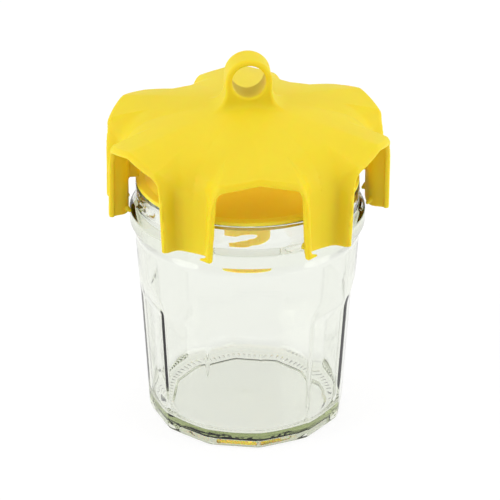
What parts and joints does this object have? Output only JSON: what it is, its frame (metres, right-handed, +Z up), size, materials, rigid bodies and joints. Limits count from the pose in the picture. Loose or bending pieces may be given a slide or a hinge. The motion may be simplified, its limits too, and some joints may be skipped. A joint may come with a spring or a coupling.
{
  "type": "wasp trap",
  "caption": "Glass jar with a funnel insert in its mouth and an umbrella hood with side arches and a hanging eye, which lures wasps in and keeps them.",
  "frame": {"origin": "centre of the jar's base, on the table", "axes": "+Z up along the jar's axis; -Y is the front, through the middle of one arch; the hanging eye's hole runs along Y"},
  "size_m": [0.0988, 0.1, 0.1377],
  "materials": {
    "jar_glass": "clear, smooth, faintly green where it is thick",
    "insert_plastic": "moulded polypropylene, satin, deep yellow",
    "hood_plastic": "moulded polypropylene, satin, bright yellow"
  },
  "bodies": {
    "jar": {"glass_jar": "jar_glass"},
    "insert": {"funnel_insert": "insert_plastic"},
    "hood": {"hood_roof": "hood_plastic", "hood_leg_front_right": "hood_plastic", "hood_leg_right": "hood_plastic", "hood_leg_back_right": "hood_plastic", "hood_leg_back_left": "hood_plastic", "hood_leg_left": "hood_plastic", "hood_leg_front_left": "hood_plastic", "hood_rib_front_right": "hood_plastic", "hood_rib_right": "hood_plastic", "hood_rib_back_right": "hood_plastic", "hood_rib_back_left": "hood_plastic", "hood_rib_left": "hood_plastic", "hood_rib_front_left": "hood_plastic", "hanging_eye": "hood_plastic"}
  },
  "joints": [
    {"name": "insert_lift", "type": "slide", "parent": "jar", "child": "insert", "axis": [0, 0, 1], "range_m": [0, 0.045]},
    {"name": "hood_lift", "type": "slide", "parent": "insert", "child": "hood", "axis": [0, 0, 1], "range_m": [0, 0.055]}
  ]
}
